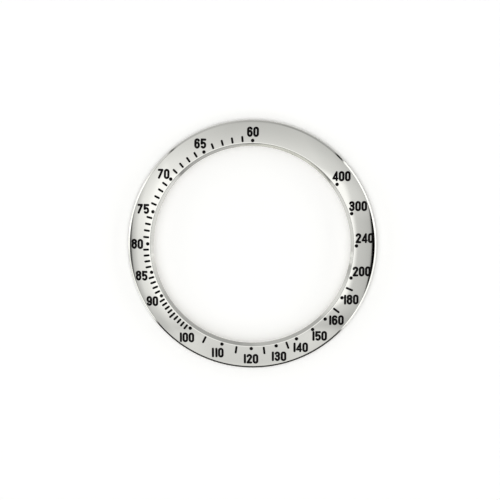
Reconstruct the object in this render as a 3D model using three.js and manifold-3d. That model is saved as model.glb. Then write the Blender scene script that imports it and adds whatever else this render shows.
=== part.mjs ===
// Fixed tachymeter bezel of a chronograph: a polished steel ring, engraved and filled with black lacquer.
// Millimetres. The seat that rests on the watch case is at z = 0, +Z faces the wearer, +Y is twelve o'clock.
import * as THREE from "three";
import { mergeVertices } from "three/addons/utils/BufferGeometryUtils.js";
import Module from "manifold-3d";

// Ring, from the dial opening outwards. The outer radius comes to 19.32.
const boreRadius = 15.27;
const bevelWidth = 0.54;
const faceWidth = 3.21;
const shoulderWidth = 0.3;

// Ring, heights above the seat
const crestHeight = 2.3;
const bevelDrop = 0.51;
const faceDrop = 0.855;
const faceCrown = 0.052; // how far the face bulges above a straight cone
const shoulderDrop = 0.2;

// Underside of the ring, where the neck of the case goes in
const lipWidth = 1.15;
const neckDepth = 1.4;
const mouthChamfer = 0.2;
const footChamfer = 0.12;

// Gasket between the counterbore and the neck of the case
const gasketWidth = 0.8;
const gasketHeight = 1.1;
const gasketChamfer = 0.15;
const gasketClearance = 0.02;

// Engraving and the lacquer in it
const engravingDepth = 0.15;
const lacquerRecess = 0.02; // the lacquer dries to just below the polished face
const lacquerClearance = 0.012;
const cutOverrun = 0.4;

// Digits, drawn with a round pen
const digitHeight = 1.57;
const digitWidth = 0.9;
const wideFourWidth = 0.96;
const wideFiveWidth = 0.95;
const penWidth = 0.36;
const finePenWidth = 0.31; // for a 4, whose eye would close with the wider pen
const digitGap = 0.06;
const doubleOneGap = 0.18;

// Dots and strokes of the scale, measured outwards from the crest
const dotDiameter = 0.56;
const dotInset = 0.37;
const strokeWidth = 0.34;
const strokeInset = 0.16;
const shortStrokeLength = 0.97;
const longStrokeLength = 1.23;

// Steps of the round forms
const ringSteps = 96;
const faceSteps = 4;
const dotSteps = 10;
const bowlSteps = 12; // steps of a full bowl of a digit
const penEndSteps = 4;

const crestRadius = boreRadius + bevelWidth;
const faceOuterRadius = crestRadius + faceWidth;
const outerRadius = faceOuterRadius + shoulderWidth;
const neckRadius = boreRadius + lipWidth;

// A speed of 60 units an hour stands at twelve o'clock, and a speed v stands 60 / v of a turn further on.
const fullTurnSpeed = 60;

// Where each numeral is: its centre as a share of the way across the face, its turn past its dot in degrees.
const numeralPlaceShares = [
  { speed: 60, across: 0.53, turn: 0.1 },
  { speed: 65, across: 0.56, turn: 0.2 },
  { speed: 70, across: 0.54, turn: -0.3 },
  { speed: 75, across: 0.61, turn: -0.3 },
  { speed: 80, across: 0.63, turn: -0.2 },
  { speed: 85, across: 0.64, turn: -0.4 },
  { speed: 90, across: 0.64, turn: -0.1 },
  { speed: 100, across: 0.59, turn: -1.5 },
  { speed: 110, across: 0.59, turn: 0.8 },
  { speed: 120, across: 0.63, turn: 0.1 },
  { speed: 130, across: 0.66, turn: -0.1 },
  { speed: 140, across: 0.59, turn: 0 },
  { speed: 150, across: 0.58, turn: -0.9 },
  { speed: 160, across: 0.555, turn: -3.6 },
  { speed: 180, across: 0.555, turn: -1.5 },
  { speed: 200, across: 0.52, turn: -4.8 },
  { speed: 240, across: 0.515, turn: -3.9 },
  { speed: 300, across: 0.52, turn: -2.6 },
  { speed: 400, across: 0.52, turn: -2 },
];

// Strokes divide the way between two neighbouring dots into even gaps. One in the very middle is long.
const strokeRuns = [
  { from: 60, to: 65, gaps: 5 },
  { from: 65, to: 70, gaps: 5 },
  { from: 70, to: 75, gaps: 5 },
  { from: 75, to: 80, gaps: 5 },
  { from: 80, to: 85, gaps: 5 },
  { from: 85, to: 90, gaps: 5 },
  { from: 90, to: 100, gaps: 10 },
  { from: 100, to: 110, gaps: 2 },
  { from: 110, to: 120, gaps: 2 },
  { from: 120, to: 130, gaps: 2 },
  { from: 130, to: 140, gaps: 2 },
  { from: 160, to: 180, gaps: 2 },
  { from: 180, to: 200, gaps: 2 },
];

const digitWidths = {
  0: digitWidth,
  1: penWidth,
  2: digitWidth,
  3: digitWidth,
  4: wideFourWidth,
  5: wideFiveWidth,
  6: digitWidth,
  7: digitWidth,
  8: digitWidth,
  9: digitWidth,
};

// A digit's points are shares of the span that the middle of the pen covers.
const bowlShare = (digitWidth - penWidth) / 2 / (digitHeight - penWidth); // rise of a round, full-width bowl
const topBowlShare = 1 - bowlShare;
const waistShare = 0.6; // where the lower bowl of a 6 or an 8 ends

// An arc as wide as the digit, about a middle height, with its rise above it. Angles are in degrees.
function arcShares(middle, rise, from, to) {
  const steps = Math.max(2, Math.round((Math.abs(to - from) / 360) * bowlSteps));
  return Array.from({ length: steps + 1 }, (none, step) => {
    const angle = THREE.MathUtils.degToRad(THREE.MathUtils.lerp(from, to, step / steps));
    return [(1 + Math.cos(angle)) / 2, middle + rise * Math.sin(angle)];
  });
}

const lowerRingShares = arcShares(waistShare / 2, waistShare / 2, 0, 360).slice(0, -1);
const upperRingShares = arcShares((1 + waistShare) / 2, (1 - waistShare) / 2, 0, 360).slice(0, -1);
const sixStrokeShares = [
  { loop: true, points: lowerRingShares },
  { points: [[0, waistShare / 2], ...arcShares(topBowlShare, bowlShare, 180, 25)] },
];
const digitStrokeShares = {
  0: [{
    loop: true,
    points: [...arcShares(bowlShare, bowlShare, 180, 360), ...arcShares(topBowlShare, bowlShare, 0, 180)],
  }],
  1: [{ points: [[0, 0], [0, 1]] }],
  2: [
    { points: [...arcShares(topBowlShare, bowlShare, 165, -35), [0, 0]] },
    { points: [[0, 0], [1, 0]] },
  ],
  3: [
    { points: [...arcShares(0.77, 0.23, 160, -75), [0.35, 0.55]] },
    { points: [[0.35, 0.55], ...arcShares(0.28, 0.28, 75, -160)] },
  ],
  4: [
    { points: [[0.8, 0], [0.8, 1]] },
    { points: [[0.8, 1], [0, 0.22]] },
    { points: [[0, 0.22], [1, 0.22]] },
  ],
  5: [
    { points: [[1, 1], [0.1, 1], [0.05, 0.5]] },
    { points: arcShares(waistShare / 2, waistShare / 2, 140, -135) },
  ],
  6: sixStrokeShares,
  7: [{ points: [[0, 1], [1, 1]] }, { points: [[1, 1], [0.05, 0]] }],
  8: [{ loop: true, points: lowerRingShares }, { loop: true, points: upperRingShares }],
  9: sixStrokeShares.map(({ loop, points }) => ({ loop, points: points.map(([x, y]) => [1 - x, 1 - y]) })),
};

const steel = { color: 0xc6c7c1, roughness: 0.08, metalness: 1 };
const lacquer = { color: 0x0a0a0a, roughness: 0.3, metalness: 0 };
const nylon = { color: 0xe6e3da, roughness: 0.55, metalness: 0 };

const wasm = await Module();
wasm.setup();

// Joining and cutting

function toSolid(geometry) {
  const plain = geometry.clone();
  plain.deleteAttribute("normal");
  plain.deleteAttribute("uv");
  const merged = mergeVertices(plain);
  const mesh = new wasm.Mesh({
    numProp: 3,
    vertProperties: new Float32Array(merged.attributes.position.array),
    triVerts: new Uint32Array(merged.index.array),
  });
  return new wasm.Manifold(mesh);
}

function toGeometry(solid) {
  const mesh = solid.getMesh();
  const geometry = new THREE.BufferGeometry();
  geometry.setAttribute("position", new THREE.BufferAttribute(mesh.vertProperties, 3));
  geometry.setIndex(new THREE.BufferAttribute(mesh.triVerts, 1));
  geometry.computeVertexNormals();
  return geometry;
}

function joinAll(solids) {
  return solids.reduce((joined, solid) => joined.add(solid));
}

// The face

// Height of the crowned face at a radius: a straight fall from the crest plus a parabola.
function faceHeight(radius) {
  const across = (radius - crestRadius) / faceWidth;
  return crestHeight - faceDrop * across + 4 * faceCrown * across * (1 - across);
}

// A closed section turned about Z. Its points run anticlockwise in (radius, height).
function turned(section) {
  return new THREE.LatheGeometry([...section, section[0]], ringSteps).rotateX(Math.PI / 2);
}

function ringGeometry() {
  const section = [
    new THREE.Vector2(boreRadius, crestHeight - bevelDrop),
    new THREE.Vector2(boreRadius, neckDepth),
    new THREE.Vector2(neckRadius, neckDepth),
    new THREE.Vector2(neckRadius, mouthChamfer),
    new THREE.Vector2(neckRadius + mouthChamfer, 0),
  ];
  section.push(new THREE.Vector2(outerRadius - footChamfer, 0));
  section.push(new THREE.Vector2(outerRadius, footChamfer));
  section.push(new THREE.Vector2(outerRadius, faceHeight(faceOuterRadius) - shoulderDrop));
  for (let step = faceSteps; step >= 0; step -= 1) {
    const radius = crestRadius + (faceWidth * step) / faceSteps;
    section.push(new THREE.Vector2(radius, faceHeight(radius)));
  }
  return turned(section);
}

function gasketGeometry() {
  const outer = neckRadius - gasketClearance;
  const inner = outer - gasketWidth;
  const low = neckDepth - gasketHeight;
  return turned([
    new THREE.Vector2(inner + gasketChamfer, low),
    new THREE.Vector2(outer, low),
    new THREE.Vector2(outer, neckDepth),
    new THREE.Vector2(inner, neckDepth),
    new THREE.Vector2(inner, low + gasketChamfer),
  ]);
}

// Marks, drawn flat and then laid on the face

// A pen of the given width drawn along points, with round ends. A loop comes back as a ring.
function penShape(points, width, loop) {
  const count = points.length;
  const direction = (index) => {
    const wrapped = loop ? (index + count) % count : Math.min(Math.max(index, 0), count - 2);
    return points[(wrapped + 1) % count].clone().sub(points[wrapped]).normalize();
  };
  const side = (index, sign) => {
    const before = direction(index - 1);
    const after = direction(index);
    const mitre = width / (1 + before.dot(after));
    const along = before.add(after).multiplyScalar((sign * mitre) / 2);
    return new THREE.Vector2(along.y, -along.x).add(points[index]);
  };
  const right = points.map((point, index) => side(index, 1));
  const left = points.map((point, index) => side(index, -1));
  if (loop) {
    const ring = new THREE.Shape(right);
    ring.holes.push(new THREE.Path(left));
    return ring;
  }
  left.reverse();
  return new THREE.Shape([
    ...right, ...penEnd(points[count - 1], right[count - 1]),
    ...left, ...penEnd(points[0], left[count - 1]),
  ]);
}

// The points of a round pen end, turned anticlockwise from its first corner.
function penEnd(centre, corner) {
  return Array.from({ length: penEndSteps - 1 }, (none, step) => (
    corner.clone().rotateAround(centre, (Math.PI * (step + 1)) / penEndSteps)
  ));
}

// A flat shape as an upright prism of unit height.
function prism(shape) {
  return toSolid(new THREE.ExtrudeGeometry(shape, { depth: 1, bevelEnabled: false }));
}

// A digit drawn with its lower left corner at the given one. A clearance makes the pen narrower all round.
function digitPrism({ digit, corner }, clearance) {
  const width = digit === "4" ? finePenWidth : penWidth;
  const span = new THREE.Vector2(digitWidths[digit] - width, digitHeight - width);
  const strokes = digitStrokeShares[digit].map(({ loop, points }) => {
    const middles = points.map((point) => (
      new THREE.Vector2(...point).multiply(span).add(corner).addScalar(width / 2)
    ));
    return prism(penShape(middles, width - 2 * clearance, loop));
  });
  return toGeometry(joinAll(strokes));
}

// Lays an upright prism on the face: its foot goes to one height from the face and its top to another.
function laidOnFace(geometry, foot, top) {
  const laid = geometry.clone();
  const places = laid.attributes.position;
  for (let index = 0; index < places.count; index += 1) {
    const surface = faceHeight(Math.hypot(places.getX(index), places.getY(index)));
    places.setZ(index, surface + THREE.MathUtils.lerp(foot, top, places.getZ(index)));
  }
  laid.computeVertexNormals();
  return laid;
}

function pocket(geometry) {
  return toSolid(laidOnFace(geometry, -engravingDepth, cutOverrun));
}

function fill(geometry) {
  return laidOnFace(geometry, lacquerClearance - engravingDepth, -lacquerRecess);
}

// The scale

function turnOf(speed) {
  return (2 * Math.PI * fullTurnSpeed) / speed;
}

// A point at a radius, turned clockwise from twelve o'clock.
function onPlan(radius, turn) {
  return new THREE.Vector2(radius * Math.sin(turn), radius * Math.cos(turn));
}

// A numeral's digits stand upright in a row, centred on the numeral's place. A wide digit takes the same
// room as the others, and a 1 takes less.
function numeralDigits({ speed, across, turn }) {
  const row = [...String(speed)].map((digit) => ({ digit, room: digit === "1" ? penWidth : digitWidth }));
  let cursor = 0;
  for (const [index, each] of row.entries()) {
    if (index > 0) {
      cursor += row[index - 1].digit + each.digit === "11" ? doubleOneGap : digitGap;
    }
    each.middle = cursor + each.room / 2;
    cursor += each.room;
  }
  const centre = onPlan(crestRadius + across * faceWidth, turnOf(speed) + THREE.MathUtils.degToRad(turn));
  return row.map(({ digit, middle }, index) => ({
    digit,
    name: `numeral_${speed}_digit_${index + 1}`,
    corner: new THREE.Vector2(middle - (cursor + digitWidths[digit]) / 2, -digitHeight / 2).add(centre),
  }));
}

function dotPrism({ speed }) {
  const outline = new THREE.Shape();
  outline.absarc(0, 0, dotDiameter / 2, 0, 2 * Math.PI);
  const centre = onPlan(crestRadius + dotInset, turnOf(speed));
  const corners = outline.getSpacedPoints(dotSteps).slice(0, -1);
  return toGeometry(prism(new THREE.Shape(corners.map((point) => point.add(centre)))));
}

function strokePrisms({ from, to, gaps }) {
  return Array.from({ length: gaps - 1 }, (none, index) => {
    const share = (index + 1) / gaps;
    const turn = THREE.MathUtils.lerp(turnOf(from), turnOf(to), share);
    const length = share === 1 / 2 ? longStrokeLength : shortStrokeLength;
    const inner = crestRadius + strokeInset + strokeWidth / 2;
    const outer = crestRadius + strokeInset + length - strokeWidth / 2;
    return toGeometry(prism(penShape([onPlan(inner, turn), onPlan(outer, turn)], strokeWidth)));
  });
}

// Assembly

function namedMesh(name, geometry, finish) {
  const mesh = new THREE.Mesh(geometry, new THREE.MeshStandardMaterial(finish));
  mesh.name = name;
  return mesh;
}

const digits = numeralPlaceShares.flatMap(numeralDigits);
const engraved = [
  ...digits.map((digit) => digitPrism(digit, 0)),
  ...numeralPlaceShares.map(dotPrism),
  ...strokeRuns.flatMap(strokePrisms),
];
const ring = toSolid(ringGeometry()).subtract(joinAll(engraved.map(pocket)));

const group = new THREE.Group();
group.add(namedMesh("bezel_ring", toGeometry(ring), steel));
group.add(namedMesh("retaining_gasket", gasketGeometry(), nylon));
for (const digit of digits) {
  group.add(namedMesh(digit.name, fill(digitPrism(digit, lacquerClearance)), lacquer));
}

export default group;
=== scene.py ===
import math

import bpy
import numpy as np
from mathutils import Matrix, Vector
from mathutils.geometry import delaunay_2d_cdt


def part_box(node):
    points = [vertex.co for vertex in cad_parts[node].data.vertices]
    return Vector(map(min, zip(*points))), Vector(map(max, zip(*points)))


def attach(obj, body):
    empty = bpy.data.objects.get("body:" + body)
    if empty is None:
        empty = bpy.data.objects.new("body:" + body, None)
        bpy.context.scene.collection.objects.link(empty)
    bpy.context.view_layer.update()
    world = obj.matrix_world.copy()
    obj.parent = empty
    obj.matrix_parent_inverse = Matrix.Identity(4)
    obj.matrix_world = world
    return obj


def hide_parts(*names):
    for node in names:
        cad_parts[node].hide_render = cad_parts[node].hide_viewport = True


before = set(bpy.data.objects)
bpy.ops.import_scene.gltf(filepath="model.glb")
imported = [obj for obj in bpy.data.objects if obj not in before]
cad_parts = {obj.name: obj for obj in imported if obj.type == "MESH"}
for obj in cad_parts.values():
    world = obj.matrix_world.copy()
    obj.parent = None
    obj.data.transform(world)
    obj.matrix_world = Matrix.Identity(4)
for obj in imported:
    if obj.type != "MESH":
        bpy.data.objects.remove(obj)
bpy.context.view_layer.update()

millimetre = 0.001
samePoint = 1e-6  # millimetres within which two points are one
print("frame loaded:", len(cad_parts), "CAD nodes")

# Small helpers


def mixed(start, end, share):
    # Straight mix: start at share 0, end at share 1.
    return start + (end - start) * share


def unit(vectors):
    # Each row divided by its own length.
    return vectors / np.linalg.norm(vectors, axis=-1, keepdims=True)


def hexColour(code):
    # sRGB hex to linear RGBA: the sRGB curve taken off each channel.
    share = np.array([int(code[place:place + 2], 16) for place in (1, 3, 5)]) / 255
    linear = np.where(share <= 0.04045, share / 12.92, ((share + 0.055) / 1.055) ** 2.4)
    return (*linear.tolist(), 1.0)


def addNode(tree, kind, settings=None, inputs=None):
    # One node: its settings are attributes, its inputs are sockets to link or plain values.
    node = tree.nodes.new(kind)
    for name, value in (settings or {}).items():
        setattr(node, name, value)
    for key, value in (inputs or {}).items():
        if isinstance(value, bpy.types.NodeSocket):
            tree.links.new(value, node.inputs[key])
        else:
            node.inputs[key].default_value = value
    return node


def newMaterial(name):
    material = bpy.data.materials.new(name)
    material.use_nodes = True
    material.node_tree.nodes.clear()
    return material


# Shape of the ring, in millimetres. The outer wall, the crest and the seat come from the frame.

ringLow, ringHigh = (np.array(corner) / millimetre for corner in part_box("bezel_ring"))
ring = {
    "outerRadius": float(ringHigh[0] - ringLow[0]) / 2,
    "crestHeight": float(ringHigh[2]),
    "seatHeight": float(ringLow[2]),
    "boreRadius": 15.27,
    "bevelWidth": 0.54,
    "bevelDrop": 0.51,
    "faceDrop": 0.855,
    "faceCrown": 0.052,
    "shoulderWidth": 0.3,
    "shoulderDrop": 0.2,
    "lipWidth": 1.15,
    "neckDepth": 1.4,
    "mouthChamfer": 0.2,
    "footChamfer": 0.12,
    "crestRound": 0.2,
    "boreRound": 0.2,
    "lipRound": 0.06,
    "neckRound": 0.08,
    "seatRound": 0.04,
    "shoulderRound": 0.15,
    "rimRound": 0.14,
    "aroundSteps": 480,
    "roundSteps": 8,
    "faceRings": 6,
    "engravingDepth": 0.15,
    "edgeGap": 1e-5,  # points this near to an edge of the face lie on it
    "endSide": 1,  # how far the section's two end sides run along the face, only for their directions
    "turnedCorners": (2, 7),  # from the lip to the foot of the outer wall the steel isn't polished
}
ring["crestRadius"] = ring["boreRadius"] + ring["bevelWidth"]
ring["faceOuterRadius"] = ring["outerRadius"] - ring["shoulderWidth"]
ring["faceWidth"] = ring["faceOuterRadius"] - ring["crestRadius"]

lacquer = {
    "recess": 0.008,  # the lacquer wets the wall just below the polished face
    "sag": 0.03,  # and has shrunk this much lower in the middle
    "wallGap": 0.002,
    "floorGap": 0.012,
    "cadGap": 0.012,  # gap that the CAD fills leave to their pockets
    "innerShares": (0.82, 0.5, 0),  # rows of points inside a pen stroke, as shares of half its width
    "sharpAngle": 50,
}


def faceHeight(radius):
    # Straight fall from the crest, plus a parabola that is zero at both edges of the face.
    across = (radius - ring["crestRadius"]) / ring["faceWidth"]
    return ring["crestHeight"] - ring["faceDrop"] * across + 4 * ring["faceCrown"] * across * (1 - across)


def faceSlope(radius):
    # Derivative of faceHeight along the radius.
    across = (radius - ring["crestRadius"]) / ring["faceWidth"]
    return (4 * ring["faceCrown"] * (1 - 2 * across) - ring["faceDrop"]) / ring["faceWidth"]


def roundedSection(corners, rounds, steps):
    # Points and outward normals of a path in (radius, height) with the solid on its left. Each inner
    # corner becomes an arc tangent to both sides: it starts rounding * tan(half the turn) before it.
    corners = np.array(corners)
    ways = unit(np.diff(corners, axis=0))
    points, normals, pieces = [], [], []
    for index, (rounding, stepCount) in enumerate(zip(rounds, steps)):
        before, after = ways[index], ways[index + 1]
        turn = math.atan2(before[0] * after[1] - before[1] * after[0], before @ after)
        start = corners[index + 1] - before * rounding * math.tan(abs(turn) / 2)
        normal = np.array([before[1], -before[0]])
        angles = np.linspace(0, turn, stepCount + 1)[:, None]
        turned = np.cos(angles) * normal + np.sin(angles) * np.array([-normal[1], normal[0]])
        side = math.copysign(rounding, turn)
        points.append(start + side * (turned - normal))
        normals.append(turned)
        pieces.append(np.full(stepCount + 1, index))
    return np.concatenate(points), np.concatenate(normals), np.concatenate(pieces)


def lathed(points, normals, stepCount):
    # Every section point turned about Z: (radius cos, radius sin, height), section by section.
    angles = np.arange(stepCount) * 2 * math.pi / stepCount
    around = np.stack([np.cos(angles), np.sin(angles)], 1)

    def spun(pairs):
        flat = pairs[:, None, :1] * around[None]
        return np.concatenate([flat, np.repeat(pairs[:, None, 1:], stepCount, 1)], 2).reshape(-1, 3)

    return spun(points), spun(normals)


def latheQuads(rowCount, stepCount, closed):
    # Quads between neighbouring rows of a lathe, wound so that they face the section's right side.
    rows = np.arange(rowCount if closed else rowCount - 1)[:, None] * stepCount
    nextRows = (rows + stepCount) % (rowCount * stepCount)
    here = np.arange(stepCount)[None]
    there = (here + 1) % stepCount
    return np.stack([rows + here, rows + there, nextRows + there, nextRows + here], -1).reshape(-1, 4)


noTriangles = np.zeros((0, 3), int)


def buildMesh(name, points, quads, triangles, materials, faceMaterials, normals=None):
    # Points in millimetres. Normals, where given, are one for each corner of each face.
    mesh = bpy.data.meshes.new(name)
    corners = np.concatenate([quads.ravel(), triangles.ravel()]).astype(np.int32)
    starts = np.concatenate([np.arange(len(quads)) * 4, len(quads) * 4 + np.arange(len(triangles)) * 3])
    mesh.vertices.add(len(points))
    mesh.vertices.foreach_set("co", (points * millimetre).astype(np.float32).ravel())
    mesh.loops.add(len(corners))
    mesh.loops.foreach_set("vertex_index", corners)
    mesh.polygons.add(len(starts))
    mesh.polygons.foreach_set("loop_start", starts.astype(np.int32))
    mesh.polygons.foreach_set("use_smooth", np.ones(len(starts), bool))
    mesh.polygons.foreach_set("material_index", faceMaterials.astype(np.int32))
    for material in materials:
        mesh.materials.append(material)
    mesh.update(calc_edges=True)
    if normals is not None:
        mesh.normals_split_custom_set(normals.tolist())
    piece = bpy.data.objects.new(name, mesh)
    bpy.context.scene.collection.objects.link(piece)
    return piece


# Marks: every digit, dot and stroke is drawn with a round pen

pen = {
    "width": 0.36,
    "fineWidth": 0.31,  # for a 4, whose eye would close with the wider pen
    "bowlSteps": 40,
    "capSteps": 10,
    "waistShare": 0.6,  # where the lower bowl of a 6 or an 8 ends
    "leastReach": 0.01,  # for a 1, whose path has no width to stretch
}
scale = {
    "fullTurnSpeed": 60,
    "dotDiameter": 0.56,
    "dotInset": 0.37,
    "dotSteps": 28,
    "strokeWidth": 0.34,
    "strokeInset": 0.16,
    "shortStrokeLength": 0.97,
    "longStrokeLength": 1.23,
    "speeds": (60, 65, 70, 75, 80, 85, 90, 100, 110, 120, 130, 140, 150, 160, 180, 200, 240, 300, 400),
    "gaps": {
        60: 5, 65: 5, 70: 5, 75: 5, 80: 5, 85: 5, 90: 10, 100: 2, 110: 2, 120: 2, 130: 2, 160: 2, 180: 2,
    },
}


def arcShares(middle, rise, start, end):
    # An arc as wide as the digit about a middle height: x is (1 + cos) / 2, y is middle + rise * sin.
    stepCount = max(2, round(abs(end - start) / 360 * pen["bowlSteps"]))
    angles = np.radians(np.linspace(start, end, stepCount + 1))
    return np.stack([(1 + np.cos(angles)) / 2, middle + rise * np.sin(angles)], 1)


def digitPaths(digit, bowl):
    # Pen paths of a digit as shares of the pen's span. A path marked True closes on itself.
    top, waist = 1 - bowl, pen["waistShare"]
    lowerRing = arcShares(waist / 2, waist / 2, 0, 360)[:-1]
    upperRing = arcShares((1 + waist) / 2, (1 - waist) / 2, 0, 360)[:-1]
    six = [
        (lowerRing, True),
        (np.vstack([[0, waist / 2], arcShares(top, bowl, 180, 25)]), False),
    ]
    paths = {
        "0": [(np.vstack([arcShares(bowl, bowl, 180, 360), arcShares(top, bowl, 0, 180)]), True)],
        "1": [([(0, 0), (0, 1)], False)],
        "2": [
            (np.vstack([arcShares(top, bowl, 165, -35), [0, 0]]), False),
            ([(0, 0), (1, 0)], False),
        ],
        "3": [
            (np.vstack([arcShares(0.77, 0.23, 160, -75), [0.35, 0.55]]), False),
            (np.vstack([[0.35, 0.55], arcShares(0.28, 0.28, 75, -160)]), False),
        ],
        "4": [
            ([(0.8, 0), (0.8, 1)], False),
            ([(0.8, 1), (0, 0.22)], False),
            ([(0, 0.22), (1, 0.22)], False),
        ],
        "5": [
            ([(1, 1), (0.1, 1), (0.05, 0.5)], False),
            (arcShares(waist / 2, waist / 2, 140, -135), False),
        ],
        "6": six,
        "7": [([(0, 1), (1, 1)], False), ([(1, 1), (0.05, 0)], False)],
        "8": [(lowerRing, True), (upperRing, True)],
        "9": [(1 - points, loop) for points, loop in six],
    }
    return [(np.array(points, float), loop) for points, loop in paths[digit]]


def penSides(points, loop):
    # At each point of a path: the sideways vector of length 1 / cos(half the turn), to the path's right.
    if loop:
        ways = unit(np.roll(points, -1, 0) - points)
        before = np.roll(ways, 1, 0)
    else:
        ways = unit(np.diff(points, axis=0))
        before = np.vstack([ways[:1], ways])
        ways = np.vstack([ways, ways[-1:]])
    along = (before + ways) / (1 + np.sum(before * ways, 1, keepdims=True))
    return np.stack([along[:, 1], -along[:, 0]], 1)


def penOutlines(points, loop, halfWidth):
    # Outlines of a drawn path, as (closed outline, True where it is the eye of a ring).
    if len(points) == 1:
        angles = np.arange(scale["dotSteps"]) * 2 * math.pi / scale["dotSteps"]
        return [(points + halfWidth * np.stack([np.cos(angles), np.sin(angles)], 1), False)]
    sides = penSides(points, loop) * halfWidth
    if loop:
        return [(points + sides, False), (points - sides, True)]

    def cap(centre, corner):
        # Half a turn about the pen's end, anticlockwise from its first corner.
        angles = np.linspace(0, math.pi, pen["capSteps"] + 1)[1:-1, None]
        across = np.array([-corner[1], corner[0]])
        return centre + np.cos(angles) * corner + np.sin(angles) * across

    outline = [
        points + sides, cap(points[-1], sides[-1]), (points - sides)[::-1], cap(points[0], -sides[0]),
    ]
    return [(np.vstack(outline), False)]


def penDistance(places, paths):
    # Shortest way from each place to the middle line of any path: the foot of the perpendicular on
    # every segment, held between the segment's ends.
    nearest = np.full(len(places), np.inf)
    for points, loop in paths:
        starts = points if loop or len(points) == 1 else points[:-1]
        ends = np.roll(points, -1, 0) if loop or len(points) == 1 else points[1:]
        ways = ends - starts
        squares = np.maximum(np.sum(ways * ways, 1), samePoint ** 2)
        share = np.clip(((places[:, None] - starts) * ways).sum(2) / squares, 0, 1)
        gaps = np.linalg.norm(places[:, None] - starts - share[..., None] * ways, axis=2)
        nearest = np.minimum(nearest, gaps.min(1))
    return nearest


def turnOf(speed):
    # A speed of 60 stands at twelve o'clock, and a speed v stands 60 / v of a turn further on.
    return 2 * math.pi * scale["fullTurnSpeed"] / speed


def onPlan(radius, turn):
    return np.array([radius * math.sin(turn), radius * math.cos(turn)])


def digitMark(node):
    # A digit fills the box of its CAD node, which is smaller than the pocket by the CAD's gap: its
    # points are stretched so that the lowest and highest share on each axis meet that box.
    low, high = (np.array(corner[:2]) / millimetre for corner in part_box(node))
    low, high = low - lacquer["cadGap"], high + lacquer["cadGap"]
    speed, place = node.split("_")[1], int(node.split("_")[3])
    digit = speed[place - 1]
    width = pen["fineWidth"] if digit == "4" else pen["width"]
    span = high - low - width
    paths = digitPaths(digit, span[0] / 2 / span[1])
    allPoints = np.vstack([points for points, loop in paths])
    least = allPoints.min(0)
    reach = np.maximum(np.ptp(allPoints, axis=0), pen["leastReach"])
    return {
        "name": node.replace("_digit_", "_lacquer_"),
        "paths": [(low + width / 2 + (points - least) / reach * span, loop) for points, loop in paths],
        "halfWidth": width / 2,
        "node": node,
    }


def dotMark(speed):
    place = onPlan(ring["crestRadius"] + scale["dotInset"], turnOf(speed))
    return {
        "name": f"dot_{speed}_lacquer",
        "paths": [(place[None], False)],
        "halfWidth": scale["dotDiameter"] / 2,
        "node": None,
    }


def strokeMarks(start, end, gapCount):
    # Strokes at even turns between two dots. The one in the very middle is long.
    marks = []
    for index in range(1, gapCount):
        turn = mixed(turnOf(start), turnOf(end), index / gapCount)
        length = scale["longStrokeLength"] if index * 2 == gapCount else scale["shortStrokeLength"]
        inner = ring["crestRadius"] + scale["strokeInset"] + scale["strokeWidth"] / 2
        outer = inner + length - scale["strokeWidth"]
        marks.append({
            "name": f"stroke_{start}_{end}_{index}_lacquer",
            "paths": [(np.stack([onPlan(inner, turn), onPlan(outer, turn)]), False)],
            "halfWidth": scale["strokeWidth"] / 2,
            "node": None,
        })
    return marks


digitNodes = sorted(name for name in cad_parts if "_digit_" in name)
marks = [digitMark(node) for node in digitNodes] + [dotMark(speed) for speed in scale["speeds"]]
for start, end in zip(scale["speeds"], scale["speeds"][1:]):
    marks += strokeMarks(start, end, scale["gaps"].get(start, 1))
print("marks drawn:", len(marks))


def triangulated(outlines, loose):
    # Delaunay triangles of all outlines and loose points on the plane. Returns the points, the
    # triangles, and for each triangle which outlines it lies in.
    sizes = [len(outline) for outline in outlines]
    starts = np.concatenate([[0], np.cumsum(sizes)[:-1]]).astype(int)
    points = np.vstack([*outlines, *loose])
    faces = [list(range(start, start + size)) for start, size in zip(starts, sizes)]
    result = delaunay_2d_cdt(list(map(Vector, points.tolist())), [], faces, 0, samePoint, True)
    places = np.array([tuple(place) for place in result[0]])
    triangles = np.array(result[2])
    owners = result[5]
    rows = np.repeat(np.arange(len(owners)), [len(owner) for owner in owners])
    within = np.zeros((len(triangles), len(outlines)), bool)
    within[rows, np.concatenate([np.array(owner, int) for owner in owners])] = True
    corners = places[triangles]
    areas = np.cross(corners[:, 1] - corners[:, 0], corners[:, 2] - corners[:, 0])
    triangles[areas < 0] = triangles[areas < 0][:, ::-1]
    return places, triangles, within


def drawn(within, eyes, firsts):
    # A triangle is drawn where it lies in a path's outline and not in that path's eye.
    inked = np.zeros(len(within), bool)
    for index in firsts:
        own = within[:, index]
        if index + 1 < len(eyes) and eyes[index + 1]:
            own = own & ~within[:, index + 1]
        inked |= own
    return inked


def borderEdges(triangles):
    # Directed edges that only one of the triangles has.
    edges = np.concatenate([triangles[:, [0, 1]], triangles[:, [1, 2]], triangles[:, [2, 0]]])
    span = int(triangles.max()) + 1
    keys, reverse = edges[:, 0] * span + edges[:, 1], edges[:, 1] * span + edges[:, 0]
    return edges[~np.isin(keys, reverse)]


def compact(places, triangles):
    # Only the points in use, with the triangles renumbered.
    used, renumbered = np.unique(triangles, return_inverse=True)
    return places[used], renumbered.reshape(triangles.shape)


# Materials. Sizes, pitches and depths are in millimetres, and patches are counted per metre.

noiseRange = (0.3, 0.7)  # where most values of a noise lie


def objectPlace(tree):
    return addNode(tree, "ShaderNodeTexCoord").outputs["Object"]


def axisRadius(tree, place):
    # Distance from the ring's axis: the length of (x, y, 0).
    flat = addNode(tree, "ShaderNodeVectorMath", {"operation": "MULTIPLY"}, {0: place, 1: (1, 1, 0)})
    return addNode(tree, "ShaderNodeVectorMath", {"operation": "LENGTH"}, {
        0: flat.outputs[0],
    }).outputs["Value"]


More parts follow.
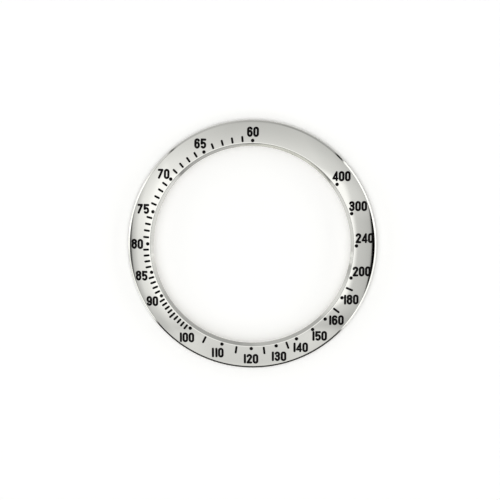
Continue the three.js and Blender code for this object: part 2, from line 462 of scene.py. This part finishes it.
steel = {
    "colour": "#d5d5d0",
    "patches": 400,
    "buffingPitch": 0.06,  # real buffing lines are finer: drawn as coarse as they need to show
    "buffingDepth": 0.002,
    "buffingStrength": 0.04,
    "grainRange": (0.1, 0.4),
    "roughness": (0.025, 0.06),
}


def polishedSteel():
    # 316L stainless steel, turned, then mirror-polished on a buffing wheel: a clean reflection, slightly
    # hazier in patches, with faint buffing lines that run round the ring.
    material = newMaterial("mirror polished stainless steel")
    tree = material.node_tree
    place = objectPlace(tree)
    cloud = addNode(tree, "ShaderNodeTexNoise", None, {
        "Vector": place, "Scale": steel["patches"], "Detail": 3,
    })
    lines = addNode(tree, "ShaderNodeTexNoise", {"noise_dimensions": "1D"}, {
        "W": axisRadius(tree, place), "Scale": 1 / (steel["buffingPitch"] * millimetre), "Detail": 2,
    })
    grain = addNode(tree, "ShaderNodeMath", {"operation": "MULTIPLY"}, {
        0: cloud.outputs[0], 1: lines.outputs[0],
    })
    roughness = addNode(tree, "ShaderNodeMapRange", None, {
        "Value": grain.outputs[0],
        "From Min": steel["grainRange"][0], "From Max": steel["grainRange"][1],
        "To Min": steel["roughness"][0], "To Max": steel["roughness"][1],
    })
    bump = addNode(tree, "ShaderNodeBump", None, {
        "Height": lines.outputs[0],
        "Strength": steel["buffingStrength"], "Distance": steel["buffingDepth"] * millimetre,
    })
    shader = addNode(tree, "ShaderNodeBsdfPrincipled", None, {
        "Base Color": hexColour(steel["colour"]), "Metallic": 1,
        "Roughness": roughness.outputs[0], "Normal": bump.outputs[0],
    })
    addNode(tree, "ShaderNodeOutputMaterial", None, {"Surface": shader.outputs[0]})
    return material


lathedSteel = {
    "colour": "#c9c9c4",
    "patches": 900,
    "feedPitch": 0.09,
    "feedDepth": 0.004,
    "feedStrength": 0.3,
    "roughness": (0.22, 0.34),
}


def turnedSteel():
    # The same steel as the lathe left it on the hidden underside: fine rings from the tool's feed.
    material = newMaterial("fine turned stainless steel")
    tree = material.node_tree
    place = objectPlace(tree)
    phase = addNode(tree, "ShaderNodeMath", {"operation": "MULTIPLY"}, {
        0: axisRadius(tree, place), 1: 2 * math.pi / (lathedSteel["feedPitch"] * millimetre),
    })
    waves = addNode(tree, "ShaderNodeMath", {"operation": "SINE"}, {0: phase.outputs[0]})
    cloud = addNode(tree, "ShaderNodeTexNoise", None, {
        "Vector": place, "Scale": lathedSteel["patches"], "Detail": 4,
    })
    roughness = addNode(tree, "ShaderNodeMapRange", None, {
        "Value": cloud.outputs[0], "From Min": noiseRange[0], "From Max": noiseRange[1],
        "To Min": lathedSteel["roughness"][0], "To Max": lathedSteel["roughness"][1],
    })
    bump = addNode(tree, "ShaderNodeBump", None, {
        "Height": waves.outputs[0],
        "Strength": lathedSteel["feedStrength"], "Distance": lathedSteel["feedDepth"] * millimetre,
    })
    shader = addNode(tree, "ShaderNodeBsdfPrincipled", None, {
        "Base Color": hexColour(lathedSteel["colour"]), "Metallic": 1,
        "Roughness": roughness.outputs[0], "Normal": bump.outputs[0],
    })
    addNode(tree, "ShaderNodeOutputMaterial", None, {"Surface": shader.outputs[0]})
    return material


bakedLacquer = {
    "colours": ("#050505", "#0a0a0a"),
    "ripplePitch": 0.12,
    "rippleDepth": 0.004,
    "rippleStrength": 0.2,
    "roughness": (0.28, 0.4),
    "specularLevel": 0.06,
}


def blackLacquer():
    # Engraver's black lacquer, wiped in and baked: almost black, semi-gloss, faintly rippled.
    material = newMaterial("baked black engraving lacquer")
    tree = material.node_tree
    ripple = addNode(tree, "ShaderNodeTexNoise", None, {
        "Vector": objectPlace(tree), "Scale": 1 / (bakedLacquer["ripplePitch"] * millimetre), "Detail": 2,
    })
    roughness = addNode(tree, "ShaderNodeMapRange", None, {
        "Value": ripple.outputs[0], "From Min": noiseRange[0], "From Max": noiseRange[1],
        "To Min": bakedLacquer["roughness"][0], "To Max": bakedLacquer["roughness"][1],
    })
    colour = addNode(tree, "ShaderNodeMix", {"data_type": "RGBA"}, {
        "Factor": ripple.outputs[0],
        "A": hexColour(bakedLacquer["colours"][0]), "B": hexColour(bakedLacquer["colours"][1]),
    })
    bump = addNode(tree, "ShaderNodeBump", None, {
        "Height": ripple.outputs[0],
        "Strength": bakedLacquer["rippleStrength"], "Distance": bakedLacquer["rippleDepth"] * millimetre,
    })
    shader = addNode(tree, "ShaderNodeBsdfPrincipled", None, {
        "Base Color": colour.outputs["Result"], "Roughness": roughness.outputs[0],
        "Specular IOR Level": bakedLacquer["specularLevel"], "Normal": bump.outputs[0],
    })
    addNode(tree, "ShaderNodeOutputMaterial", None, {"Surface": shader.outputs[0]})
    return material


nylon = {
    "colours": ("#cdc9bc", "#e0dcd0"),
    "patches": 350,
    "skinPitch": 0.08,
    "skinDepth": 0.006,
    "skinStrength": 0.25,
    "roughness": (0.45, 0.6),
    "refraction": 1.53,
    "milkiness": 0.2,
    "milkyDepth": 0.4,
}


def mouldedNylon():
    # Natural nylon, moulded in a ring and left unpainted: milky, with a fine matte mould skin.
    material = newMaterial("natural moulded nylon")
    tree = material.node_tree
    place = objectPlace(tree)
    skin = addNode(tree, "ShaderNodeTexNoise", None, {
        "Vector": place, "Scale": 1 / (nylon["skinPitch"] * millimetre), "Detail": 3,
    })
    cloud = addNode(tree, "ShaderNodeTexNoise", None, {
        "Vector": place, "Scale": nylon["patches"], "Detail": 2,
    })
    colour = addNode(tree, "ShaderNodeMix", {"data_type": "RGBA"}, {
        "Factor": cloud.outputs[0],
        "A": hexColour(nylon["colours"][0]), "B": hexColour(nylon["colours"][1]),
    })
    roughness = addNode(tree, "ShaderNodeMapRange", None, {
        "Value": skin.outputs[0], "From Min": noiseRange[0], "From Max": noiseRange[1],
        "To Min": nylon["roughness"][0], "To Max": nylon["roughness"][1],
    })
    bump = addNode(tree, "ShaderNodeBump", None, {
        "Height": skin.outputs[0],
        "Strength": nylon["skinStrength"], "Distance": nylon["skinDepth"] * millimetre,
    })
    shader = addNode(tree, "ShaderNodeBsdfPrincipled", None, {
        "Base Color": colour.outputs["Result"], "Roughness": roughness.outputs[0],
        "IOR": nylon["refraction"], "Subsurface Weight": nylon["milkiness"],
        "Subsurface Scale": nylon["milkyDepth"] * millimetre, "Normal": bump.outputs[0],
    })
    addNode(tree, "ShaderNodeOutputMaterial", None, {"Surface": shader.outputs[0]})
    return material


polishedFinish, turnedFinish = polishedSteel(), turnedSteel()
lacquerFinish, nylonFinish = blackLacquer(), mouldedNylon()
print("materials made")

# The ring: a lathed body, and a face with a pocket for each mark


def ringSection():
    # From the crest over the bevel, down the bore, out under the lip, down the counterbore, along
    # the seat, up the outer wall and over the shoulder to the face.
    crest, outer = ring["crestRadius"], ring["outerRadius"]
    neck = ring["boreRadius"] + ring["lipWidth"]
    endSide = ring["endSide"]
    face, faceFoot = ring["faceOuterRadius"], faceHeight(ring["faceOuterRadius"])
    seat = ring["seatHeight"]
    corners = [
        (crest + endSide, ring["crestHeight"] + endSide * faceSlope(crest)),
        (crest, ring["crestHeight"]),
        (ring["boreRadius"], ring["crestHeight"] - ring["bevelDrop"]),
        (ring["boreRadius"], ring["neckDepth"]),
        (neck, ring["neckDepth"]),
        (neck, seat + ring["mouthChamfer"]),
        (neck + ring["mouthChamfer"], seat),
        (outer - ring["footChamfer"], seat),
        (outer, seat + ring["footChamfer"]),
        (outer, faceFoot - ring["shoulderDrop"]),
        (face, faceFoot),
        (face - endSide, faceFoot - endSide * faceSlope(face)),
    ]
    rounds = [ring[name] for name in (
        "crestRound", "boreRound", "lipRound", "neckRound", "seatRound",
        "seatRound", "seatRound", "seatRound", "rimRound", "shoulderRound",
    )]
    return roundedSection(corners, rounds, [ring["roundSteps"]] * len(rounds))


def faceOnPlan(firstRadius, lastRadius):
    # The face as seen from above: its two edges, rings of loose points between them, and all marks.
    angles = np.arange(ring["aroundSteps"]) * 2 * math.pi / ring["aroundSteps"]
    around = np.stack([np.cos(angles), np.sin(angles)], 1)
    radii = np.linspace(firstRadius, lastRadius, ring["faceRings"] + 2)
    outlines, eyes = [around * lastRadius, around * firstRadius], [False, True]
    for mark in marks:
        for points, loop in mark["paths"]:
            for outline, eye in penOutlines(points, loop, mark["halfWidth"]):
                outlines.append(outline)
                eyes.append(eye)
    places, triangles, within = triangulated(outlines, [around * radius for radius in radii[1:-1]])
    firsts = [index for index, eye in enumerate(eyes) if not eye]
    marked = drawn(within, eyes, firsts[1:])
    onFace = drawn(within, eyes, firsts[:1])
    return places, triangles[onFace], marked[onFace]


def makeRing():
    # The body has every turned surface but the face. The face's triangles lie on it, or one engraving
    # depth lower inside a mark, and a wall of quads joins the two levels along each mark's border.
    section, sectionNormals, pieces = ringSection()
    stepCount, rowCount = ring["aroundSteps"], len(section)
    firstRadius, lastRadius = section[0, 0], section[-1, 0]
    section[0, 1], section[-1, 1] = faceHeight(firstRadius), faceHeight(lastRadius)
    body, bodyNormals = lathed(section, sectionNormals, stepCount)
    quads = latheQuads(rowCount, stepCount, False)
    firstTurned, lastTurned = ring["turnedCorners"]
    underneath = (pieces >= firstTurned) & (pieces <= lastTurned)
    rowMaterial = (underneath[:-1] & underneath[1:]).astype(int)
    quadMaterials = np.repeat(rowMaterial, stepCount)

    places, triangles, marked = faceOnPlan(firstRadius, lastRadius)
    radii = np.linalg.norm(places, axis=1)
    steps = np.round(np.arctan2(places[:, 1], places[:, 0]) * stepCount / (2 * math.pi)).astype(int)
    # A point on either edge of the face is the body's own point, in its first or last row.
    onFirst = np.abs(radii - firstRadius) < ring["edgeGap"]
    onLast = np.abs(radii - lastRadius) < ring["edgeGap"]
    index = np.arange(len(places)) + len(body)
    index = np.where(onFirst, steps % stepCount, index)
    index = np.where(onLast, (rowCount - 1) * stepCount + steps % stepCount, index)
    heights, slopes = faceHeight(radii), faceSlope(radii)
    top = np.column_stack([places, heights])
    bottom = np.column_stack([places, heights - ring["engravingDepth"]])
    outward = places / radii[:, None]
    topNormals = unit(np.column_stack([-slopes[:, None] * outward, np.ones(len(places))]))

    floorIndex = np.arange(len(places)) + len(body) + len(places)
    border = borderEdges(triangles[marked])
    walls = np.column_stack([index[border], floorIndex[border[:, ::-1]]])
    points = np.vstack([body, top, bottom])
    vertexNormals = np.vstack([bodyNormals, topNormals, topNormals])
    allQuads = np.vstack([quads, walls])
    allTriangles = np.vstack([index[triangles[~marked]], floorIndex[triangles[marked]]])
    wallPoints = points[walls]
    wallNormals = unit(np.cross(wallPoints[:, 1] - wallPoints[:, 0], wallPoints[:, 3] - wallPoints[:, 0]))
    normals = np.vstack([
        vertexNormals[quads.ravel()], np.repeat(wallNormals, 4, 0), vertexNormals[allTriangles.ravel()],
    ])
    faceMaterials = np.concatenate([
        quadMaterials, np.ones(len(walls)), np.zeros(np.sum(~marked)), np.ones(np.sum(marked)),
    ])
    corners = np.concatenate([allQuads.ravel(), allTriangles.ravel()])
    used, renumbered = np.unique(corners, return_inverse=True)
    allQuads = renumbered[:allQuads.size].reshape(-1, 4)
    allTriangles = renumbered[allQuads.size:].reshape(-1, 3)
    return buildMesh(
        "engraved_ring", points[used], allQuads, allTriangles, [polishedFinish, turnedFinish],
        faceMaterials, normals,
    )


def makeFill(mark):
    # Lacquer in one pocket: a wall along the pen's outline, a flat foot, and a top that sags towards
    # the middle of the pen by sag * (1 - (1 - t) squared), where t runs from 0 at the wall to 1.
    halfWidth = mark["halfWidth"] - lacquer["wallGap"]
    outlines, eyes, loose = [], [], []
    for points, loop in mark["paths"]:
        for outline, eye in penOutlines(points, loop, halfWidth):
            outlines.append(outline)
            eyes.append(eye)
        for share in lacquer["innerShares"]:
            if share:
                loose += [outline for outline, eye in penOutlines(points, loop, halfWidth * share)]
            else:
                loose.append(points)
    places, triangles, within = triangulated(outlines, loose)
    firsts = [index for index, eye in enumerate(eyes) if not eye]
    places, triangles = compact(places, triangles[drawn(within, eyes, firsts)])
    border = borderEdges(triangles)
    fromWall = np.clip(1 - penDistance(places, mark["paths"]) / halfWidth, 0, 1)
    fromWall[np.unique(border)] = 0
    surface = faceHeight(np.linalg.norm(places, axis=1))
    top = surface - lacquer["recess"] - lacquer["sag"] * (1 - (1 - fromWall) ** 2)
    foot = surface - ring["engravingDepth"] + lacquer["floorGap"]
    count = len(places)
    points = np.vstack([np.column_stack([places, top]), np.column_stack([places, foot])])
    walls = np.column_stack([border[:, 1], border[:, 0], border[:, 0] + count, border[:, 1] + count])
    allTriangles = np.vstack([triangles, triangles[:, ::-1] + count])
    piece = buildMesh(
        mark["name"], points, walls, allTriangles, [lacquerFinish],
        np.zeros(len(walls) + len(allTriangles)),
    )
    piece.data.set_sharp_from_angle(angle=math.radians(lacquer["sharpAngle"]))
    return piece


# The gasket under the lip

gasket = {
    "width": 0.8,
    "height": 1.1,
    "wallClearance": 0.02,
    "chamfer": 0.15,
    "cornerRound": 0.05,
    "roundSteps": 5,
    "aroundSteps": 240,
}


def makeGasket():
    # A five-sided section with small rounds, turned about Z.
    outer = ring["boreRadius"] + ring["lipWidth"] - gasket["wallClearance"]
    inner, high = outer - gasket["width"], ring["neckDepth"] - gasket["wallClearance"]
    low = ring["neckDepth"] - gasket["height"]
    corners = [
        (inner + gasket["chamfer"], low), (outer, low), (outer, high), (inner, high),
        (inner, low + gasket["chamfer"]),
    ]
    path = [corners[-1], *corners, corners[0]]
    steps = [gasket["roundSteps"]] * len(corners)
    section, sectionNormals, pieces = roundedSection(path, [gasket["cornerRound"]] * len(corners), steps)
    points, normals = lathed(section, sectionNormals, gasket["aroundSteps"])
    quads = latheQuads(len(section), gasket["aroundSteps"], True)
    return buildMesh(
        "retaining_gasket_ring", points, quads, noTriangles, [nylonFinish], np.zeros(len(quads)),
        normals[quads.ravel()],
    )


ringPiece = makeRing()
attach(ringPiece, "root")
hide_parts("bezel_ring")
print("ring made:", len(ringPiece.data.polygons), "faces")

gasketPiece = makeGasket()
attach(gasketPiece, "root")
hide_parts("retaining_gasket")
print("gasket made")

for mark in marks:
    fill = makeFill(mark)
    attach(fill, "root")
    if mark["node"]:
        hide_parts(mark["node"])
print("lacquer made:", len(marks), "fills")

# The studio: a white table in a tent with bright side panels and greyer ends

studio = {
    "tableSize": 6.0,  # metres
    "tableGap": 0.01,  # millimetres under the seat
    "tableColour": "#f4f4f2",
    "tableRoughness": 0.8,
    "tableGlow": 0.3,
    # The table's glow fades near the ring by ambient occlusion: a painted contact shadow.
    "paintedShadowReach": 0.4,  # millimetres from the ring within which the table's glow fades
    "paintedShadowDepth": 0.2,  # openness at which it has gone
    "paintedShadowSamples": 16,
    "brightest": 2.0,
    # Where the tent's end walls begin. North: y > slope * |x| + lift * z, for any of these lines.
    # South: -y > slope * x + lift * z, for all of them.
    "northCorner": ((1.25, -0.33), (0.8, 0.35)),
    "southCorner": ((0.6, 0.355), (-0.6, 0.355), (1.13, 0), (-0.9, 0)),
    "cornerSoftness": 0.04,
    "cornerShade": 0.18,  # how much darker the side walls are beside the south corners
    "cornerShadeReach": 0.1,
    # The panel overhead: its edges in degrees from straight up
    "overhead": {"east": 24, "west": 28.5, "north": 13.5, "south": 21, "softness": 2, "level": 1.46},
    # Brightness of each wall of the tent against the angle that it is seen at, in degrees from straight
    # up, and how that changes along the wall
    "east": {
        "rise": (
            (0, 1.0), (24, 0.87), (26, 0.82), (28, 0.79), (30, 0.765), (33, 0.71), (34.2, 0.68),
            (35, 0.61), (35.3, 0.0), (58.3, 0.0), (58.9, 1.7), (70, 1.7), (72.5, 0.6), (79, 0.6),
            (82, 1.02), (90, 1.1),
        ),
        "along": (
            (-90, 1.0), (-38, 0.92), (-32, 0.97), (-24, 1.06), (-16, 1.0), (2, 1.0), (4, 1.06),
            (7, 1.18), (9, 1.22), (12, 1.21), (16, 1.13), (20, 1.04), (30, 1.0), (90, 0.95),
        ),
    },
    "west": {
        "rise": (
            (0, 1.1), (28, 1.3), (30, 1.19), (32, 1.09), (35.5, 1.0), (38, 0.76), (39.6, 0.63),
            (40, 0.3), (40.5, 0.04), (60.2, 0.03), (61.6, 1.6), (72, 1.6), (74.5, 0.62), (79, 0.6),
            (82, 0.97), (90, 1.0),
        ),
        "along": (
            (-90, 1.0), (-38, 0.84), (-31, 0.81), (-26, 0.9), (-21, 1.06), (-15, 1.08), (-8, 1.06),
            (-3, 1.11), (4, 1.22), (9, 1.17), (14, 1.11), (18, 1.05), (22, 1.0), (46, 1.1), (54, 0.6),
            (64, 0.62), (74, 1.05), (80, 1.05), (85, 0.7), (90, 0.7),
        ),
    },
    "north": {
        "rise": (
            (0, 1.1), (13, 1.1), (17, 1.02), (20, 0.98), (24, 0.89), (28, 0.82), (33, 0.76), (37, 0.57),
            (86, 0.57), (90, 0.8),
        ),
        "along": (
            (-90, 1.0), (-40, 1.2), (-28, 1.19), (-18, 1.09), (-10, 1.0), (8, 1.0), (15, 1.02),
            (19, 0.96), (24, 0.92), (28, 0.84), (34, 0.85), (90, 1.0),
        ),
    },
    "south": {
        "rise": (
            (0, 1.0), (28, 1.0), (36, 0.96), (42, 0.94), (46, 1.1), (60, 1.05), (64, 0.1), (70, 0.05),
            (84, 0.05), (87, 0.38), (90, 0.45),
        ),
        "along": (
            (-90, 0.6), (-40, 0.8), (-24, 1.08), (-14, 0.97), (-6, 0.96), (4, 0.96), (8, 0.98), (16, 1.06),
            (40, 0.8), (60, 0.8), (76, 1.35), (90, 1.6),
        ),
    },
}


def makeWorld():
    # Each wall is a ramp over the angle from straight up to where a ray meets it, atan2(|x|, z) or
    # atan2(|y|, z), times a ramp along it. Lines across each quarter of the sky part two walls, and a
    # bright panel covers the middle of the sky.
    world = bpy.data.worlds.new("light tent")
    world.use_nodes = True
    tree = world.node_tree
    tree.nodes.clear()
    way = addNode(tree, "ShaderNodeTexCoord").outputs["Generated"]
    parts = addNode(tree, "ShaderNodeSeparateXYZ", None, {0: way}).outputs

    def maths(operation, *values):
        inputs = dict(enumerate(values))
        return addNode(tree, "ShaderNodeMath", {"operation": operation}, inputs).outputs[0]

    def ramp(degrees, stops):
        # Stops are (degrees, level), and the ramp reaches from the first stop to the last. A colour
        # ramp holds 0 to 1 only, so its greys are shares of the brightest level.
        first, span = stops[0][0], stops[-1][0] - stops[0][0]
        share = maths("MULTIPLY_ADD", degrees, 1 / span, -first / span)
        node = addNode(tree, "ShaderNodeValToRGB", None, {"Fac": share})
        elements = node.color_ramp.elements
        elements.remove(elements[1])
        for index, (angle, level) in enumerate(stops):
            element = elements[0] if index == 0 else elements.new(1)
            element.position = (angle - first) / span
            element.color = (level / studio["brightest"],) * 3 + (1.0,)
        return maths("MULTIPLY", node.outputs[0], studio["brightest"])

    def angleOf(across):
        return maths("DEGREES", maths("ARCTAN2", across, parts["Z"]))

    def above(value, edge, softness):
        # 0 well below an edge, 1 well above it, with a smooth step between.
        return addNode(tree, "ShaderNodeMapRange", {"interpolation_type": "SMOOTHSTEP"}, {
            "Value": value, "From Min": edge - softness, "From Max": edge + softness,
        }).outputs[0]

    def mixedBy(factor, first, second):
        return addNode(tree, "ShaderNodeMix", {"data_type": "FLOAT"}, {
            "Factor": factor, "A": first, "B": second,
        }).outputs[0]

    aside, ahead = maths("ABSOLUTE", parts["X"]), maths("ABSOLUTE", parts["Y"])
    eastAngle, northAngle = angleOf(parts["X"]), angleOf(parts["Y"])
    wallAngles = {"aside": angleOf(aside), "ahead": angleOf(ahead)}
    alongAngles = {"aside": northAngle, "ahead": eastAngle}

    def wall(side, facing):
        rise = ramp(wallAngles[facing], studio[side]["rise"])
        return maths("MULTIPLY", rise, ramp(alongAngles[facing], studio[side]["along"]))

    def pastCorner(lines, across, joining):
        # How far a ray is past the corner's lines, on the end wall's side.
        edges = [
            maths("MULTIPLY_ADD", across, slope, maths("MULTIPLY", parts["Z"], lift))
            for slope, lift in lines
        ]
        edge = edges[0]
        for other in edges[1:]:
            edge = maths(joining, edge, other)
        return maths("SUBTRACT", ahead, edge)

    softness, shadeReach = studio["cornerSoftness"], studio["cornerShadeReach"]
    sides = mixedBy(above(parts["X"], 0, softness), wall("west", "aside"), wall("east", "aside"))
    northGap = pastCorner(studio["northCorner"], aside, "MINIMUM")
    southGap = pastCorner(studio["southCorner"], parts["X"], "MAXIMUM")
    northern = mixedBy(above(northGap, 0, softness), sides, wall("north", "ahead"))
    shade = maths("MULTIPLY", above(southGap, -shadeReach, shadeReach), studio["cornerShade"])
    shaded = maths("MULTIPLY", sides, maths("SUBTRACT", 1, shade))
    southern = mixedBy(above(southGap, 0, softness), shaded, wall("south", "ahead"))
    walls = mixedBy(above(parts["Y"], 0, softness), southern, northern)
    panel = studio["overhead"]
    toEdges = [
        maths("SUBTRACT", panel["east"], eastAngle), maths("ADD", panel["west"], eastAngle),
        maths("SUBTRACT", panel["north"], northAngle), maths("ADD", panel["south"], northAngle),
    ]
    inside = 1
    for gap in toEdges:
        inside = maths("MULTIPLY", inside, above(gap, 0, panel["softness"]))
    level = mixedBy(inside, walls, panel["level"])
    background = addNode(tree, "ShaderNodeBackground", None, {
        "Color": (1, 1, 1, 1), "Strength": level,
    })
    addNode(tree, "ShaderNodeOutputWorld", None, {"Surface": background.outputs[0]})
    bpy.context.scene.world = world


def makeTable():
    # A white table: plain diffuse, with a share of white glow for the rays that look straight at it
    # or see it in the metal, so that it reads white and still takes the ring's soft shadow. The glow
    # fades by ambient occlusion where the ring stands close: a painted contact shadow.
    half = studio["tableSize"] / 2 / millimetre
    height = ring["seatHeight"] - studio["tableGap"]
    corners = np.array([(x * half, y * half, height) for x, y in ((-1, -1), (1, -1), (1, 1), (-1, 1))])
    material = newMaterial("matt white table")
    tree = material.node_tree
    rays = addNode(tree, "ShaderNodeLightPath").outputs
    seen = addNode(tree, "ShaderNodeMath", {"operation": "MAXIMUM"}, {
        0: rays["Is Camera Ray"],
        1: addNode(tree, "ShaderNodeMath", {"operation": "MAXIMUM"}, {
            0: rays["Is Glossy Ray"], 1: rays["Is Transmission Ray"],
        }).outputs[0],
    })
    # Ambient occlusion dims the glow close to the ring: painted contact shadow.
    openness = addNode(tree, "ShaderNodeAmbientOcclusion", {"samples": studio["paintedShadowSamples"]}, {
        "Distance": studio["paintedShadowReach"] * millimetre,
    })
    glowUnderPaintedShadow = addNode(tree, "ShaderNodeMapRange", None, {
        "Value": openness.outputs["AO"],
        "From Min": studio["paintedShadowDepth"], "To Max": studio["tableGlow"],
    })
    glow = addNode(tree, "ShaderNodeMath", {"operation": "MULTIPLY"}, {
        0: seen.outputs[0], 1: glowUnderPaintedShadow.outputs[0],
    })
    shader = addNode(tree, "ShaderNodeBsdfPrincipled", None, {
        "Base Color": hexColour(studio["tableColour"]), "Roughness": studio["tableRoughness"],
        "Specular IOR Level": 0, "Emission Color": (1, 1, 1, 1), "Emission Strength": glow.outputs[0],
    })
    addNode(tree, "ShaderNodeOutputMaterial", None, {"Surface": shader.outputs[0]})
    quad = np.array([[0, 1, 2, 3]])
    table = buildMesh("white_table", corners, quad, noTriangles, [material], np.zeros(1))


makeWorld()
makeTable()
print("studio made")

# The camera, from the photograph: nearly straight above, on a long lens

view = {
    "toCamera": (0.035, 0.09, 0.995),
    "turn": 0.39,  # degrees that the picture's top is turned anticlockwise from twelve o'clock
    "distance": 430.2,  # millimetres, as are the lens and the sensor
    "lens": 200.0,
    "sensor": 36.0,
    "clipping": (0.01, 20),  # metres
    "pictureSize": 500,
    "centrePixel": (251.44, 244.42),  # where the ring's axis meets the crest's height
    "middlePixel": 249.5,
}


def makeCamera():
    camera = bpy.data.cameras.new("camera")
    camera.lens, camera.sensor_width = view["lens"], view["sensor"]
    camera.clip_start, camera.clip_end = view["clipping"]
    back = Vector(view["toCamera"]).normalized()
    turn = math.radians(view["turn"])
    right = Vector((-math.sin(turn), math.cos(turn), 0)).cross(back).normalized()
    up = back.cross(right)
    pixel = view["sensor"] / view["lens"] * view["distance"] / view["pictureSize"]
    column, row = view["centrePixel"]
    aim = Vector((0, 0, ring["crestHeight"]))
    aim -= right * (column - view["middlePixel"]) * pixel + up * (view["middlePixel"] - row) * pixel
    place = (aim + back * view["distance"]) * millimetre
    holder = bpy.data.objects.new("camera", camera)
    holder.matrix_world = Matrix((
        (right.x, up.x, back.x, place.x), (right.y, up.y, back.y, place.y),
        (right.z, up.z, back.z, place.z), (0, 0, 0, 1),
    ))
    bpy.context.scene.collection.objects.link(holder)
    bpy.context.scene.camera = holder


makeCamera()
bpy.context.scene.view_settings.view_transform = "Standard"
